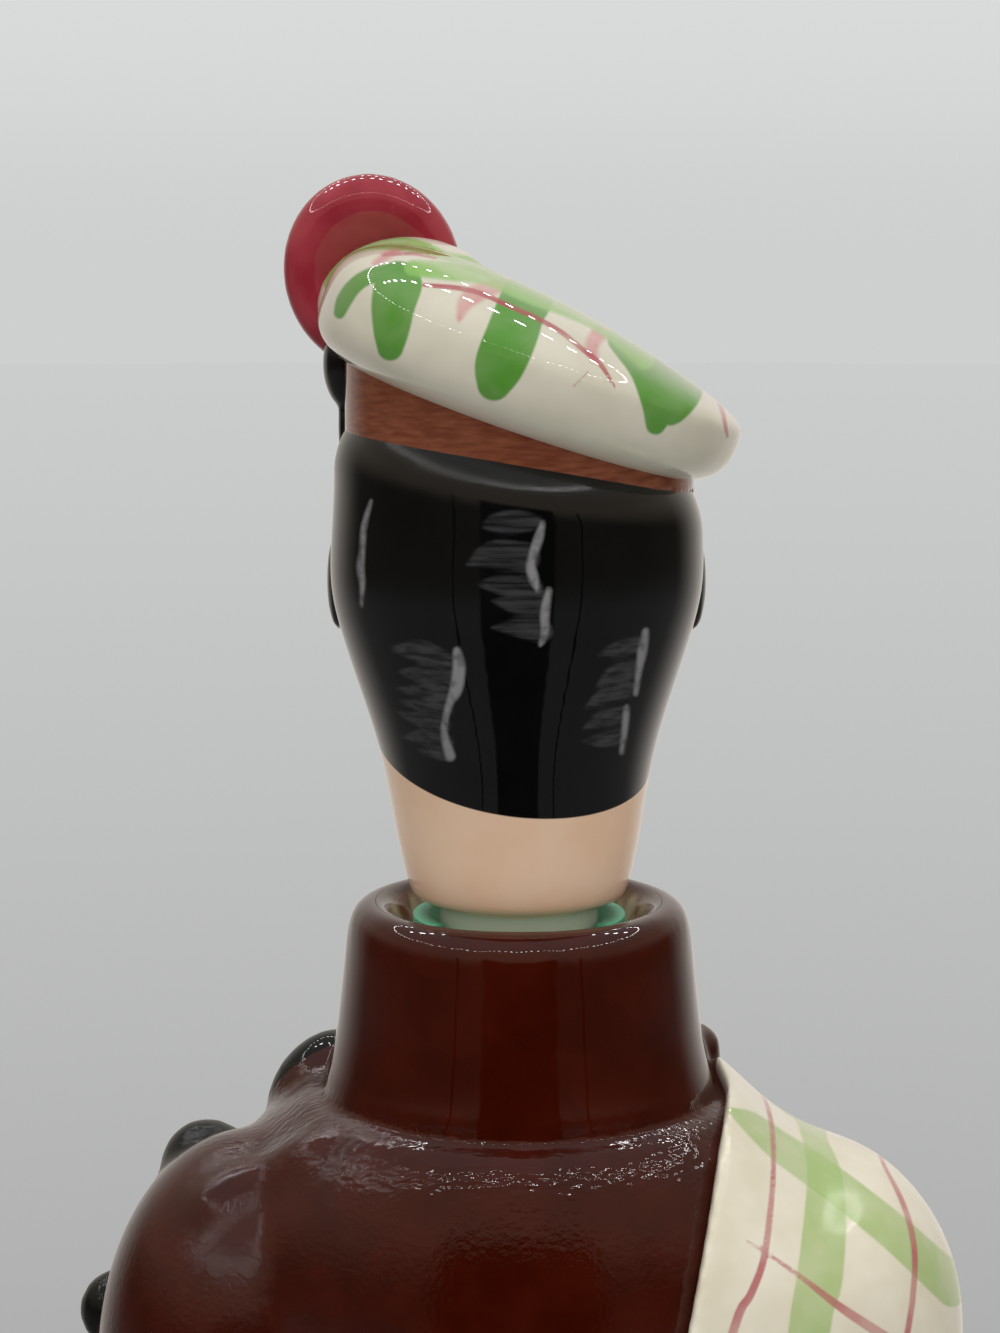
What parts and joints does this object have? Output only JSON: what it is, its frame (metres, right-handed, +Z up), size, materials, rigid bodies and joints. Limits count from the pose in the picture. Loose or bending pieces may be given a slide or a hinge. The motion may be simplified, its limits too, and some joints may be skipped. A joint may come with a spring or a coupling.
{
  "type": "figural liquor decanter",
  "caption": "Hollow glazed figure of a bagpiper in kilt and plaid on an oval plinth. The head lifts out of the tall collar as the stopper.",
  "frame": {"origin": "centre of the plinth's underside, on the surface that the decanter stands on", "axes": "+Z up along the stopper's axis, -Y the way the figure faces, +X its left side"},
  "size_m": [0.1098, 0.0899, 0.2999],
  "materials": {
    "maroon_glaze": "high gloss",
    "cream_plaid_glaze": "high gloss, hand painted",
    "kilt_glaze": "high gloss, hand painted",
    "flesh_glaze": "gloss",
    "black_glaze": "high gloss",
    "band_glaze": "gloss, brushed on",
    "red_glaze": "high gloss",
    "stocking_glaze": "gloss",
    "sleeve_plastic": "satin",
    "seal_rubber": "satin"
  },
  "bodies": {
    "decanter": {"base": "black_glaze", "leg_left": "stocking_glaze", "leg_right": "stocking_glaze", "kilt": "kilt_glaze", "sporran": "stocking_glaze", "torso": "maroon_glaze", "collar": "maroon_glaze", "plaid": "cream_plaid_glaze", "arm_left": "maroon_glaze", "arm_right": "maroon_glaze", "bag": "cream_plaid_glaze", "chanter": "black_glaze", "blowpipe": "black_glaze", "drone_inner": "black_glaze", "drone_middle": "black_glaze", "drone_outer": "black_glaze"},
    "seal": {"seal_ring": "seal_rubber"},
    "stopper": {"head": "flesh_glaze", "stopper_sleeve": "sleeve_plastic", "cap": "cream_plaid_glaze", "cap_band": "band_glaze", "hackle": "red_glaze", "cockade": "black_glaze"}
  },
  "joints": [
    {"name": "stopper_lift", "type": "slide", "parent": "decanter", "child": "seal", "axis": [0, 0, 1], "range_m": [0, 0.06]},
    {"name": "stopper_turn", "type": "hinge", "parent": "seal", "child": "stopper", "pos_m": [0, 0, 0.206], "axis": [0, 0, 1], "continuous": true}
  ]
}
